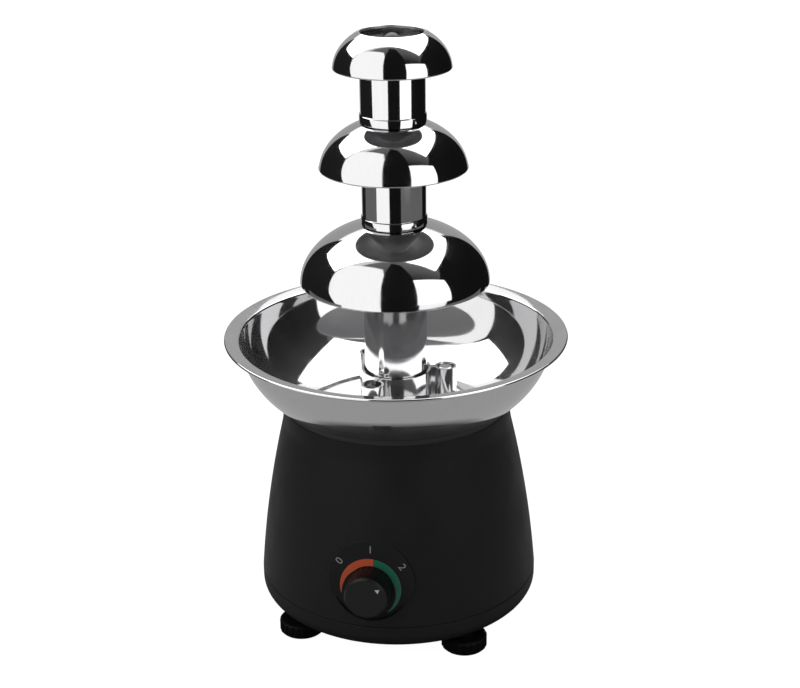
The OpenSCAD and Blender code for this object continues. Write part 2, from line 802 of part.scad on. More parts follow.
// Tapered shell with a flat dial recess, screw columns and the rear inlet hole
module base_shell() {
    color(black) difference() {
        union() {
            rotate_extrude($fn = 120) polygon(concat([[seam_r - seam_break, seam_z]],
                side_points(0, seam_z + seam_break), reversed(side_points(wall))));
            intersection() {
                shell_core();
                union() {
                    at_dial() translate([0, recess_rise, -panel_t])
                        cylinder(r = recess_r + wall, h = 2 * panel_t);
                    for (k = [0:3]) rotate([0, 0, 90 * k + column_turn])
                        translate([cover_screw_circle_r, -rib_t / 2, seam_z])
                        cube([seam_r - cover_screw_circle_r, rib_t, column_h]);
                }
            }
            for (k = [0:3]) at(cover_screw_circle_r, 90 * k + column_turn, cover_z + cover_boss_h)
                cylinder(r = column_r, h = seam_z + column_h - cover_z - cover_boss_h);
        }
        at_dial() {
            translate([0, recess_rise, 0]) cylinder(r = recess_r, h = 2 * wall + dial_depth + eps);
            translate([0, 0, -panel_t - eps])
                cylinder(r = switch_bush_r + screw_gap, h = panel_t + 2 * eps);
        }
        at_gland() translate([0, 0, -2 * wall]) cylinder(r = gland_r + screw_gap, h = 3 * wall);
        for (k = [0:3]) at(cover_screw_circle_r, 90 * k + column_turn, cover_z + cover_boss_h - eps)
            cylinder(r = cover_screw_r + press_gap, h = cover_screw_len + eps);
    }
}

// Outline of the cover's outside, inset by t, from the axis to the seam, with its edge broken
function cover_points(t, edge = 0) = concat(
    [[0, cover_z + t]],
    arc_points([seam_r - cover_round, cover_z + cover_round], cover_round - t, -90, 0, 8),
    [[seam_r - t, seam_z - edge]],
    edge > 0 ? [[seam_r - t - edge, seam_z]] : []);

// Dished bottom cover with foot bosses, screw pockets, a locating lip and vents
module bottom_cover() {
    lip_r = shell_r(seam_z) - wall - lip_gap;
    color(black) difference() {
        union() {
            rotate_extrude($fn = 120) {
                polygon(concat(cover_points(0, seam_break), reversed(cover_points(wall))));
                translate([lip_r - lip_t, seam_z - lip_h])
                    square([seam_r - wall / 2 - lip_r + lip_t, lip_h]);
                translate([lip_r - lip_t, seam_z - lip_h]) square([lip_t, 2 * lip_h]);
            }
            intersection() {
                rotate_extrude($fn = 120) polygon(concat(cover_points(0), [[0, seam_z]]));
                union() {
                    for (turn = foot_turns) at(foot_circle_r, turn, cover_z)
                        cylinder(r = foot_boss_r, h = insert_h);
                    for (k = [0:3]) at(cover_screw_circle_r, 90 * k + column_turn, cover_z)
                        cylinder(r = cover_boss_r, h = cover_boss_h);
                }
            }
        }
        for (turn = foot_turns) at(foot_circle_r, turn, cover_z - eps)
            cylinder(r = insert_r + press_gap, h = insert_h + 2 * eps);
        for (k = [0:3]) at(cover_screw_circle_r, 90 * k + column_turn, cover_z - eps) {
            cylinder(r = cover_screw_r + screw_gap, h = cover_boss_h + 2 * eps);
            cylinder(r = screw_head_r + 0.4, h = cover_head_pocket + eps);
        }
        for (k = [0:vent_count - 1]) rotate([0, 0, 360 * k / vent_count])
            translate([vent_r, -vent_w / 2, cover_z - eps]) cube([vent_len, vent_w, wall + 2 * eps]);
    }
}

module cover_screws() {
    head_z = cover_z + cover_head_pocket;
    color(dark_steel) for (k = [0:3]) at(cover_screw_circle_r, 90 * k + column_turn, head_z)
        screw(cover_screw_r, cover_screw_len, screw_head_r, screw_head_h);
}

module foot_inserts() {
    color(brass) for (turn = foot_turns) at(foot_circle_r, turn)
        ring(insert_r, stud_r + running_gap, insert_h, cover_z);
}

// Fluted wheel that a hand turns to level the base
module foot_wheel(turn) {
    bevel = 1.2;
    color(black) at(foot_circle_r, turn) difference() {
        union() {
            rotate_extrude() polygon([
                [0, wheel_z], [foot_r - bevel, wheel_z], [foot_r, wheel_z + bevel],
                [foot_r, foot_h - bevel], [foot_r - bevel, foot_h],
                [wheel_hub_r, foot_h], [wheel_hub_r, foot_h + wheel_hub_h], [0, foot_h + wheel_hub_h]]);
        }
        translate([0, 0, wheel_z - eps]) cylinder(r = pad_r + slip_gap, h = pad_recess + eps);
        translate([0, 0, foot_h - stud_sink])
            cylinder(r = stud_r + press_gap, h = stud_sink + wheel_hub_h + eps);
        for (k = [0:flutes - 1]) at(foot_r + flute_r - flute_depth, 360 * k / flutes, wheel_z - eps)
            cylinder(r = flute_r, h = foot_h + 2 * eps, $fn = 24);
    }
}

module foot_stud(turn) {
    color(dark_steel) at(foot_circle_r, turn, foot_h - stud_sink) cylinder(r = stud_r, h = stud_len);
}

// Rubber sole that stays still on the table while the wheel turns above it
module foot_pad(turn) {
    color(rubber) at(foot_circle_r, turn) cylinder(r = pad_r, h = pad_h - running_gap);
}

module rotary_switch() {
    color(black) at_dial() difference() {
        union() {
            translate([-switch_side / 2, -switch_side / 2, -panel_t - switch_depth])
                cube([switch_side, switch_side, switch_depth]);
            translate([0, 0, -panel_t]) cylinder(r = switch_bush_r, h = panel_t + switch_nut_h);
        }
        translate([0, 0, -panel_t - switch_socket])
            cylinder(r = switch_r + running_gap, h = panel_t + switch_nut_h + switch_socket + eps);
    }
}

module switch_nut() {
    color(steel) at_dial() hex(switch_nut_r, switch_bush_r + press_gap, switch_nut_h);
}

module switch_shaft() {
    foot = tap_gap - panel_t - switch_socket;
    color(steel) at_dial() translate([0, 0, foot]) cylinder(r = switch_r, h = switch_shaft_len - foot);
}

// Knob: fluted side, hollow skirt over the nut, and a core pressed on the shaft
module knob() {
    face_z = knob_gap + knob_len;
    bevel = 1.4;
    color(black) at_dial() difference() {
        rotate_extrude() polygon([
            [0, knob_gap], [knob_skirt_r, knob_gap], [knob_r, face_z - bevel],
            [knob_r - bevel, face_z], [0, face_z]]);
        difference() {
            translate([0, 0, knob_gap - eps])
                cylinder(r = knob_r - knob_wall, h = knob_len - knob_face_t + eps);
            translate([0, 0, switch_nut_h + 2]) cylinder(r = knob_core_r, h = knob_len);
        }
        cylinder(r = switch_r + press_gap, h = switch_shaft_len);
        for (k = [0:knob_flutes - 1])
            at(knob_skirt_r + knob_flute_r * 0.55, 360 * k / knob_flutes, knob_gap - eps)
            cylinder(r = knob_flute_r, h = knob_len - 3 * bevel, $fn = 24);
        at_pointer() cylinder(r = pointer_size + press_gap, h = pointer_t + eps, $fn = 3);
    }
}

// Frame of the pointer, sunk in the knob's face
module at_pointer() {
    at(pointer_r, pointer_turn, knob_gap + knob_len - pointer_t) children();
}

module knob_pointer() {
    color("white") at_dial() at_pointer() cylinder(r = pointer_size, h = pointer_t, $fn = 3);
}

module cord_gland() {
    color(black) at_gland() difference() {
        union() {
            translate([0, 0, -gland_tail]) cylinder(r = gland_r, h = gland_tail + gland_flange_t);
            translate([0, 0, running_gap]) cylinder(r = gland_flange_r, h = gland_flange_t);
            translate([0, 0, gland_flange_t]) cylinder(r1 = gland_r, r2 = gland_snout_r, h = gland_snout);
        }
        translate([0, 0, -gland_tail - eps])
            cylinder(r = gland_bore_r, h = gland_tail + gland_flange_t + gland_snout + 2 * eps);
    }
}

module gland_nut() {
    color(black) at_gland() translate([0, 0, -wall - gland_nut_h - gland_nut_gap])
        hex(gland_nut_r, gland_r + press_gap, gland_nut_h);
}

// Screw terminal block on the cover's floor
module terminal_block() {
    color("ivory") difference() {
        translate([-block_w / 2, block_y - block_d / 2, cover_floor_z]) cube([block_w, block_d, block_h]);
        for (k = [0:block_ways - 1]) translate(way(k)) cylinder(r = 2.4, h = way_depth + eps);
        for (k = [1:block_ways - 1]) translate([way_x(k - 0.5) - 0.6, 0, cover_floor_z + block_h - 3])
            cube([1.2, block_y + block_d, 3 + eps]);
    }
}

// Foot of a way in the terminal block
function way_x(k) = block_w * ((k + 0.5) / block_ways - 0.5);
function way(k) = [way_x(k), block_y, cover_floor_z + block_h - way_depth];
function above(p, h) = p + [0, 0, h];

// Leads: block to switch, switch to heater, heater to block and block to motor; the cord's way stays free
module wiring() {
    switch_y = panel_t + switch_depth / 2 - panel_y;
    switch_x = switch_side / 2;
    lead_z = motor_z + 12;
    // each heater lead drops from its terminal and runs out past the bracket
    lead_r = 50;
    end_z = element_z - terminal_len;
    ends = [for (turn = [-terminal_turn, terminal_turn])
        [element_circle_r * cos(turn), element_circle_r * sin(turn), end_z]];
    outs = [for (turn = [-terminal_turn, terminal_turn])
        [lead_r * cos(turn), lead_r * sin(turn), end_z - 6]];
    color("firebrick") {
        wire([way(0), above(way(0), 13), [-switch_x - 13, 0, dial_z - 18],
            [-switch_x - 11, switch_y, dial_z], [-switch_x, switch_y, dial_z]]);
        wire([[switch_x, switch_y, dial_z], [switch_x + 9, switch_y, dial_z],
            [lead_r - 2, -40, clamp_z - 44], outs[0], above(ends[0], -6), ends[0]]);
        wire([ends[1], above(ends[1], -6), outs[1], [lead_r + 10, 22, clamp_z - 28],
            above([lead_r - 2, block_y, cover_floor_z], block_h + 10),
            above(way(3), 11), way(3)]);
        wire([way(2), [way_x(2), block_y, lead_z], [way_x(2), motor_r, lead_z]]);
    }
}

base_shell();
bottom_cover();
cover_screws();
foot_inserts();
bowl_gasket();
bowl();
locating_posts();
post_screws();
shaft_bush();
bush_nut();
shaft_seal();
heater_plate();
heating_element();
heater_clamp();
heater_studs();
heater_nuts();
thermostat();
thermal_fuse();
motor_standoffs();
motor_bracket();
bracket_screws();
gearbox();
gearbox_screws();
motor_can();
rotary_switch();
switch_nut();
terminal_block();
cord_gland();
gland_nut();
wiring();
drive_shaft();
drive_dog();
auger_shaft();
auger_flight();
auger_hub();
lower_tube();
lower_tier();
tube_collar();
middle_tube();
middle_tier();
upper_tube();
crown_tier();
switch_shaft();
knob();
knob_pointer();
foot_wheel(foot_turns[0]);  // foot_wheel_1
foot_wheel(foot_turns[1]);  // foot_wheel_2
foot_wheel(foot_turns[2]);  // foot_wheel_3
foot_wheel(foot_turns[3]);  // foot_wheel_4
foot_stud(foot_turns[0]);  // foot_stud_1
foot_stud(foot_turns[1]);  // foot_stud_2
foot_stud(foot_turns[2]);  // foot_stud_3
foot_stud(foot_turns[3]);  // foot_stud_4
foot_pad(foot_turns[0]);  // foot_pad_1
foot_pad(foot_turns[1]);  // foot_pad_2
foot_pad(foot_turns[2]);  // foot_pad_3
foot_pad(foot_turns[3]);  // foot_pad_4
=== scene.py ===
# %% [markdown]
# A three-tier chocolate fountain, dressed for rendering. The imported solids give the frame: every piece made
# here sits in the same place, in metres, with the tower's axis on Z, the table at z = 0 and the dial facing
# -Y. This first cell loads that frame and keeps its solids and its record.
# Steel mirrors steel here, from bowl to dome and back, so a mirrored ray may bounce eight times.

# %% Load the frame
import json
import math

import bpy
from mathutils import Matrix, Vector


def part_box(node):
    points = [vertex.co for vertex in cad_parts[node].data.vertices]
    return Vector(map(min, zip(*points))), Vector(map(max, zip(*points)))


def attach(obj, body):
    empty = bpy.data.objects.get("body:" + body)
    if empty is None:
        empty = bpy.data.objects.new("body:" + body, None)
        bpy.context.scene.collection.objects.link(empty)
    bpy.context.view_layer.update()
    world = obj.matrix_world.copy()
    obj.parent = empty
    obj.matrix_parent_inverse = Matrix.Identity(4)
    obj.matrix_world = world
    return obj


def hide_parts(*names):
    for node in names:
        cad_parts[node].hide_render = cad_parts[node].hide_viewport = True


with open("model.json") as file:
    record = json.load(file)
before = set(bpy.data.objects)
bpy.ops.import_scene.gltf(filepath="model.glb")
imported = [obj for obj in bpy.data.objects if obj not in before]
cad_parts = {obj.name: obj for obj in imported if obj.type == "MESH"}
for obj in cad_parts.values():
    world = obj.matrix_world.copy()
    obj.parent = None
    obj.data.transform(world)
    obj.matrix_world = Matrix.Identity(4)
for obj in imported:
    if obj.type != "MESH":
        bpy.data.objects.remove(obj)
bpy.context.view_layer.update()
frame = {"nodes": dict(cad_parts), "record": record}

MM = 0.001
scene = bpy.context.scene
scene.view_settings.view_transform = "Standard"
scene.cycles.glossy_bounces = 8

# %% [markdown]
# The camera comes first, because it says which details matter. Its place was fitted to the round rims and
# seams of the photograph: about a metre away, a little to the right of the dial, looking down by 22 degrees,
# with a hint of roll. The lens is set for a frame 36 mm wide.

# %% Camera
CAMERA_TURN = math.radians(12)
CAMERA_DOWN = math.radians(21.816)
CAMERA_ROLL = math.radians(-0.7583)
CAMERA_DISTANCE = 1.0114
CAMERA_HEIGHT = 0.59664


def seen_from_camera(right, away, up):
    """A point given as right, away and up, as the camera sees the tower's axis, in the object's frame."""
    c, s = math.cos(CAMERA_TURN), math.sin(CAMERA_TURN)
    return Vector((right * c - away * s, right * s + away * c, up))


look = (Matrix.Rotation(CAMERA_TURN, 4, "Z") @ Matrix.Rotation(math.pi / 2 - CAMERA_DOWN, 4, "X")
        @ Matrix.Rotation(CAMERA_ROLL, 4, "Z"))
bpy.ops.object.camera_add(location=seen_from_camera(0, -CAMERA_DISTANCE, CAMERA_HEIGHT),
                          rotation=look.to_euler())
camera = bpy.context.object
camera.data.sensor_fit = "HORIZONTAL"
camera.data.sensor_width = 36
camera.data.lens = 73.76
camera.data.shift_x = 0.00508
camera.data.clip_end = 50
scene.camera = camera
print("camera at", tuple(round(v, 3) for v in camera.location))

# %% [markdown]
# Most of this object is turned: a section goes once round the axis. By hand that is one vertex, extruded
# along the section, and then Spin. The helpers below do just that, merge the seam and make the normals point
# out. A lathe or Screw modifier would give the same shape, but Spin leaves a plain mesh that can be cut
# later. Arcs are given enough points to mirror a straight lamp edge without corners.

# %% Drawing and turning
MERGE = 2e-6
SOFT_EDGE = math.radians(32)


def clear_selection():
    """Leave edit mode and deselect everything, so that the next operator acts on its own piece alone."""
    if bpy.context.mode != "OBJECT":
        bpy.ops.object.mode_set(mode="OBJECT")
    bpy.ops.object.select_all(action="DESELECT")


def arc(centre, radius, start, stop, steps, squash=1.0):
    """Points on a round or elliptic arc, angles in degrees."""
    angles = [math.radians(start + (stop - start) * i / steps) for i in range(steps + 1)]
    return [(centre[0] + radius * math.cos(a), centre[1] + radius * squash * math.sin(a)) for a in angles]


def outline(name, points):
    """Draw a closed outline by extruding one vertex from point to point; it stays in edit mode."""
    clear_selection()
    bpy.ops.mesh.primitive_plane_add(size=MM)
    piece = bpy.context.object
    piece.name = piece.data.name = name
    bpy.ops.object.mode_set(mode="EDIT")
    bpy.ops.mesh.select_mode(type="VERT")
    bpy.ops.mesh.select_all(action="SELECT")
    bpy.ops.mesh.merge(type="CENTER")
    bpy.ops.transform.translate(value=points[0])
    for here, there in zip(points, points[1:] + points[:1]):
        bpy.ops.mesh.extrude_vertices_move(TRANSFORM_OT_translate={"value": there - here})
    bpy.ops.mesh.select_all(action="SELECT")
    bpy.ops.mesh.remove_doubles(threshold=MERGE)
    return piece


def turned(name, section, steps=144):
    """Spin a closed section of (radius, height) points, in millimetres, round the tower's axis."""
    piece = outline(name, [Vector((r, 0, z)) * MM for r, z in section])
    bpy.ops.mesh.spin(steps=steps, angle=2 * math.pi, center=(0, 0, 0), axis=(0, 0, 1))
    bpy.ops.mesh.select_all(action="SELECT")
    bpy.ops.mesh.remove_doubles(threshold=MERGE)
    bpy.ops.mesh.normals_make_consistent(inside=False)
    bpy.ops.object.mode_set(mode="OBJECT")
    bpy.ops.object.shade_smooth_by_angle(angle=SOFT_EDGE)
    print(name, "faces:", len(piece.data.polygons))
    return piece


# %% [markdown]
# A finished piece has to move with the right body and stand for the right solid. Sheet steel is polished
# outside and duller inside, so a piece may have a second finish: faces that look towards the axis take it.

# %% Dressing a piece
def dress(piece, body, slot, finish, *nodes, inside=None):
    """Give a piece its finish, let it ride on its body and stand for its solids."""
    piece.data.materials.clear()
    piece.data.materials.append(finish)
    if inside:
        piece.data.materials.append(inside)
        for face in piece.data.polygons:
            outward = Vector((face.center.x, face.center.y, 0)).normalized()
            face.material_index = int(face.normal.dot(outward) < -0.05)
    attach(piece, body)
    if nodes:
        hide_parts(*nodes)


print("a piece can be drawn, turned and dressed")

# %% [markdown]
# Finishes are node materials on Object coordinates, which are metres here, so a noise scale of 500 means
# marks of about two millimetres. A few small helpers keep the node trees readable: one adds a node with its
# settings, one joins two nodes, one maps a range of values on another and one makes a ramp of a colour's
# darker and lighter tones.

# %% Finishes: node helpers
def new_finish(name):
    """A new material with its node tree and its Principled shader."""
    finish = bpy.data.materials.new(name)
    finish.use_nodes = True
    return finish, finish.node_tree, finish.node_tree.nodes["Principled BSDF"]


def node(tree, kind, inputs=(), **settings):
    """Add a node, with values for its inputs and its settings."""
    made = tree.nodes.new(kind)
    for key, value in settings.items():
        setattr(made, key, value)
    for key, value in dict(inputs).items():
        made.inputs[key].default_value = value
    return made


def join(tree, source, output, target, slot):
    """Join an output of one node to an input of another."""
    tree.links.new(source.outputs[output], target.inputs[slot])


def ramp(tree, low, high, floor, ceiling):
    """Map values between low and high on values between floor and ceiling."""
    return node(tree, "ShaderNodeMapRange",
                {"From Min": low, "From Max": high, "To Min": floor, "To Max": ceiling})


def tones(tree, colour, darker, lighter):
    """A colour ramp from a darker to a lighter tone of one colour."""
    made = node(tree, "ShaderNodeValToRGB")
    for element, share in zip(made.color_ramp.elements, (darker, lighter)):
        element.color = (*[min(1, c * share) for c in colour], 1)
    return made


print("node helpers ready")

# %% [markdown]
# Polished steel is nearly a mirror. What makes it look real is a roughness that wanders a little, faint
# rubbing marks in its tone, the tiniest waviness of the sheet and a thin veil: a share of much rougher
# steel, mixed in, which softens the mirror as fine scratches do. The bowl and the tower's foot are wiped
# most often, so they have the strongest veil.

# %% Finishes: steel
def polished_steel(name, tint, gloss, wave=0.02, haze=0.02):
    finish, tree, shader = new_finish(name)
    shader.inputs["Metallic"].default_value = 1
    place = node(tree, "ShaderNodeTexCoord")
    smudge = node(tree, "ShaderNodeTexNoise", {"Scale": 70, "Detail": 5, "Roughness": 0.6})
    rough = ramp(tree, 0.35, 0.75, gloss, gloss + 0.06)
    stretch = node(tree, "ShaderNodeMapping", {"Scale": (900, 900, 60)})
    rubbing = node(tree, "ShaderNodeTexNoise", {"Scale": 1, "Detail": 3, "Roughness": 0.7})
    tone = tones(tree, tint, 0.94, 1.03)
    sheet = node(tree, "ShaderNodeTexNoise", {"Scale": 38, "Detail": 1})
    bump = node(tree, "ShaderNodeBump", {"Strength": wave, "Distance": 0.0006})
    for target in (smudge, stretch, sheet):
        join(tree, place, "Object", target, "Vector")
    join(tree, stretch, "Vector", rubbing, "Vector")
    join(tree, smudge, "Fac", rough, "Value")
    join(tree, rough, "Result", shader, "Roughness")
    join(tree, rubbing, "Fac", tone, "Fac")
    join(tree, tone, "Color", shader, "Base Color")
    join(tree, sheet, "Fac", bump, "Height")
    join(tree, bump, "Normal", shader, "Normal")
    veil = node(tree, "ShaderNodeBsdfPrincipled", {"Metallic": 1, "Roughness": 0.55})
    amount = ramp(tree, 0.3, 0.7, haze * 0.7, haze * 1.3)
    both = node(tree, "ShaderNodeMixShader")
    join(tree, tone, "Color", veil, "Base Color")
    join(tree, smudge, "Fac", amount, "Value")
    join(tree, amount, "Result", both, 0)
    join(tree, shader, "BSDF", both, 1)
    join(tree, veil, "BSDF", both, 2)
    join(tree, both, "Shader", tree.nodes["Material Output"], "Surface")
    return finish


tower_steel = polished_steel("tower steel", (0.60, 0.60, 0.605), 0.04, haze=0.005)
bowl_steel = polished_steel("bowl steel", (0.57, 0.57, 0.575), 0.03, wave=0.01, haze=0.07)
foot_steel = polished_steel("tower foot steel", (0.60, 0.60, 0.605), 0.08, haze=0.08)
inside_steel = polished_steel("inside steel", (0.60, 0.60, 0.605), 0.3, wave=0.1)
# painted light: the lower dome's underside takes a far lighter steel than the rest, for the light the bowl
# throws up on to it
underside_painted_light = polished_steel("underside steel with painted light", (0.92, 0.92, 0.925), 0.6, wave=0.1)
bore_steel = polished_steel("bore steel", (0.66, 0.66, 0.665), 0.1, wave=0.1)
print("steel finishes ready")

# %% [markdown]
# The base is black moulded plastic with a fine spark-eroded texture, so it is matt from afar and glitters
# very slightly close up. Two noises do it: a fine one for the texture and a broad one for the wear of the
# tone. Knob, feet, rubber, printing ink and the plastics inside differ in tone, gloss and grain only.

# %% Finishes: plastics
def moulded(name, colour, rough, grain=2600, depth=0.25, specular=0.5):
    finish, tree, shader = new_finish(name)
    shader.inputs["Specular IOR Level"].default_value = specular
    place = node(tree, "ShaderNodeTexCoord")
    fine = node(tree, "ShaderNodeTexNoise", {"Scale": grain, "Detail": 2})
    broad = node(tree, "ShaderNodeTexNoise", {"Scale": 45, "Detail": 4})
    tone = tones(tree, colour, 0.85, 1.15)
    spread = ramp(tree, 0.3, 0.7, rough - 0.05, rough + 0.06)
    bump = node(tree, "ShaderNodeBump", {"Strength": depth, "Distance": 0.00006})
    for texture in (fine, broad):
        join(tree, place, "Object", texture, "Vector")
    join(tree, broad, "Fac", tone, "Fac")
    join(tree, tone, "Color", shader, "Base Color")
    join(tree, broad, "Fac", spread, "Value")
    join(tree, spread, "Result", shader, "Roughness")
    join(tree, fine, "Fac", bump, "Height")
    join(tree, bump, "Normal", shader, "Normal")
    return finish


base_black = moulded("base black", (0.019, 0.019, 0.0196), 0.5, specular=0.085)
knob_black = moulded("knob black", (0.005, 0.005, 0.0055), 0.4, grain=3600, depth=0.12, specular=0.25)
foot_black = moulded("foot black", (0.006, 0.006, 0.0063), 0.45, specular=0.07)
auger_grey = moulded("auger grey", (0.055, 0.055, 0.057), 0.42)
inner_black = moulded("inner black", (0.02, 0.02, 0.022), 0.5)
rubber_black = moulded("rubber black", (0.012, 0.012, 0.012), 0.75, grain=1500)
block_ivory = moulded("block ivory", (0.62, 0.58, 0.47), 0.4)
lead_red = moulded("lead red", (0.25, 0.02, 0.015), 0.4)
print_orange = moulded("printed orange", (0.72, 0.105, 0.025), 0.45)
print_green = moulded("printed green", (0.006, 0.155, 0.082), 0.45)
print_grey = moulded("printed grey", (0.36, 0.36, 0.36), 0.5)
print_white = moulded("printed white", (0.82, 0.82, 0.82), 0.45)
print("plastic finishes ready")

# %% [markdown]
# The pieces inside the base are plain metals: zinc-plated steel, turned brass and cast aluminium. One cloudy
# noise moves both tone and roughness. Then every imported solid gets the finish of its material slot, so that
# the pieces whose shape is right already only need a better surface. Knob, collar and foot wheels have a
# finish of their own.

# %% Finishes: plain metals, and a finish for every solid
def plain_metal(name, tint, rough):
    finish, tree, shader = new_finish(name)
    shader.inputs["Metallic"].default_value = 1
    place = node(tree, "ShaderNodeTexCoord")
    cloud = node(tree, "ShaderNodeTexNoise", {"Scale": 300, "Detail": 4})
    tone = tones(tree, tint, 0.8, 1.1)
    spread = ramp(tree, 0.3, 0.7, rough - 0.08, rough + 0.08)
    join(tree, place, "Object", cloud, "Vector")
    join(tree, cloud, "Fac", tone, "Fac")
    join(tree, tone, "Color", shader, "Base Color")
    join(tree, cloud, "Fac", spread, "Value")
    join(tree, spread, "Result", shader, "Roughness")
    return finish


zinc = plain_metal("zinc-plated steel", (0.55, 0.56, 0.57), 0.32)
brass = plain_metal("turned brass", (0.70, 0.50, 0.22), 0.28)
aluminium = plain_metal("cast aluminium", (0.66, 0.67, 0.68), 0.42)
slot_finishes = {
    "polished_steel": tower_steel, "auger_plastic": auger_grey, "plain_steel": zinc,
    "base_plastic": base_black, "switch_plastic": inner_black, "block_plastic": block_ivory,
    "mark_white": print_white, "brass": brass, "rubber": rubber_black,
    "heater_aluminium": aluminium, "lead_insulation": lead_red}
node_slots = {part["node"]: part["material_slot"] for part in frame["record"]["subparts"]}
for name, solid in frame["nodes"].items():
    finish = slot_finishes[node_slots[name]]
    if name == "knob":
        finish = knob_black
    elif name == "tube_collar":
        finish = foot_steel
    elif name.startswith("foot_wheel"):
        finish = foot_black
    solid.data.materials.clear()
    solid.data.materials.append(finish)
print("finishes on", len(node_slots), "solids")

# %% [markdown]
# The three tiers are thin spun domes with elliptic sections. Each ends below in a hemmed bead, which draws
# the bright line round the rim, and the two lower ones carry a spigot that the next tube slips over. The
# heights build on one another from the bowl's floor, which is read from the frame.

# %% Tiers: sections
SHEET = 0.9
TUBE_R = 20.8
SPIGOT_R = 20.25
SPIGOT_EDGE = 0.3
BAND_H = 5.2
SEAT_GAP = 0.3


def dome_height(tier, radius):
    """Height of a dome's face at a radius; a tier is its rim radius, its centre's height and its rise."""
    rim_r, centre_z, rise = tier
    return centre_z + rise * math.sqrt(1 - (radius / rim_r) ** 2)


def dome_arc(tier, rim_z, radius, inset, steps=44):
    """The dome's face from its rim up to a radius, inset by a sheet for the inner face."""
    rim_r, centre_z, rise = tier[0] - inset, tier[1], tier[2] - inset
    start = math.degrees(math.asin((rim_z - centre_z) / rise))
    stop = math.degrees(math.acos(radius / rim_r))
    return arc((0, centre_z), rim_r, start, stop, steps, squash=rise / rim_r)


def hem(tier, rim_z):
    """The round bead under a dome's rim."""
    return arc((tier[0] - SHEET, rim_z), SHEET, -180, 0, 12)


def seat_height(tier):
    """Height at which a tube meets the inner face of a dome."""
    return dome_height((tier[0] - SHEET, tier[1], tier[2] - SHEET), TUBE_R + SEAT_GAP)


MOUTH_R = 20.95
MOUTH_ROUND = 0.75
FLOOR_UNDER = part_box("bowl")[0][2] / MM
LOWER_RIM_Z = FLOOR_UNDER + SHEET + 90.9
lower = (62.1, LOWER_RIM_Z - 1.5, 42.0)
lower_neck = dome_height(lower, SPIGOT_R)
MIDDLE_RIM_Z = lower_neck + 37.8
middle = (47.9, MIDDLE_RIM_Z - 3.4, 35.9)
middle_neck = dome_height(middle, SPIGOT_R)
CROWN_RIM_Z = middle_neck + 35.0
crown = (37.7, CROWN_RIM_Z - 1.8, 28.8)
crown_lip = dome_height(crown, MOUTH_R)
crown_seat = crown_lip - MOUTH_ROUND - SHEET
print("rims at", [round(z, 1) for z in (LOWER_RIM_Z, MIDDLE_RIM_Z, CROWN_RIM_Z)])
print("crown's lip at", round(crown_lip, 1))

# %% [markdown]
# With the sections known, each tier is one closed outline: up the outer face, round the spigot or the
# crown's rolled mouth, down the inner face and round the hem. The undersides aren't polished on the real
# tiers, so they take a duller finish. The lower tier's underside is also painted much lighter, as painted
# light for the light that the bowl throws up under it.

# %% Tiers: domes
def spigot_tier(name, tier, rim_z):
    """A dome that ends above in a spigot for the next tube."""
    top = dome_height(tier, SPIGOT_R) + BAND_H
    bore = SPIGOT_R - SHEET
    spigot = [(SPIGOT_R, top - SPIGOT_EDGE), (SPIGOT_R - SPIGOT_EDGE, top), (bore, top),
              (bore, seat_height(tier))]
    return turned(name, dome_arc(tier, rim_z, SPIGOT_R, 0) + spigot
                  + dome_arc(tier, rim_z, TUBE_R + SEAT_GAP, SHEET)[::-1] + hem(tier, rim_z))


lower_dome = spigot_tier("lower_dome", lower, LOWER_RIM_Z)
middle_dome = spigot_tier("middle_dome", middle, MIDDLE_RIM_Z)
crown_dome = turned("crown_dome", dome_arc(crown, CROWN_RIM_Z, MOUTH_R, 0)
                    + arc((MOUTH_R, crown_lip - MOUTH_ROUND), MOUTH_ROUND, 90, 180, 8)[1:]
                    + [(MOUTH_R - MOUTH_ROUND, crown_seat), (TUBE_R + SEAT_GAP, crown_seat)]
                    + dome_arc(crown, CROWN_RIM_Z, TUBE_R + 2, SHEET)[::-1] + hem(crown, CROWN_RIM_Z))
# the lower dome's inner faces take the steel with painted light
dress(lower_dome, "lower_section", "polished_steel", tower_steel, "lower_tier", inside=underside_painted_light)
dress(middle_dome, "middle_section", "polished_steel", tower_steel, "middle_tier", inside=inside_steel)
dress(crown_dome, "top_section", "polished_steel", tower_steel, "crown_tier", inside=inside_steel)

# %% [markdown]
# The tubes are rolled from the same sheet. The upper two are opened out at the foot into a socket band with
# a small shoulder, and that band is what catches the light just above each dome. The lower one is plain, and
# the collar at the bowl's floor holds it.

# %% Tubes
SLIP = 0.35
BAND_BORE = SPIGOT_R + SLIP
BAND_R = BAND_BORE + SHEET
COLLAR_FOOT = FLOOR_UNDER + SHEET + 0.3
COLLAR_TOP = COLLAR_FOOT + 28.2
INTAKE_H = 5


def socket_tube(name, neck, top):
    """A tube with an expanded socket band at its foot, which slips over the spigot below."""
    shoulder = neck + BAND_H
    foot = neck + SLIP
    bore = TUBE_R - SHEET
    return turned(name, [
        (BAND_BORE, foot + 0.2), (BAND_BORE + 0.2, foot), (BAND_R - 0.25, foot), (BAND_R, foot + 0.25),
        (BAND_R, shoulder - 0.15), (BAND_R - 0.08, shoulder + 0.1), (TUBE_R + 0.1, shoulder + 0.6),
        (TUBE_R, shoulder + 0.8), (TUBE_R, top), (bore, top), (bore, shoulder + 0.7), (BAND_BORE, shoulder)])


upper_tube = socket_tube("upper_tube_turned", middle_neck, crown_seat)
middle_tube = socket_tube("middle_tube_turned", lower_neck, seat_height(middle))
lower_tube = turned("lower_tube_turned", [
    (TUBE_R - SHEET, COLLAR_FOOT + INTAKE_H), (TUBE_R, COLLAR_FOOT + INTAKE_H),
    (TUBE_R, seat_height(lower)), (TUBE_R - SHEET, seat_height(lower))])

# %% [markdown]
# A dimple in each tube locates it on its spigot or collar. It is the bright dot on the bands. A punch makes
# it on the real tube; here a ball is taken out of the tube's side with a Boolean, only a fraction of a
# millimetre deep.

# %% Dimples
DIMPLE_EDGE = math.radians(24)


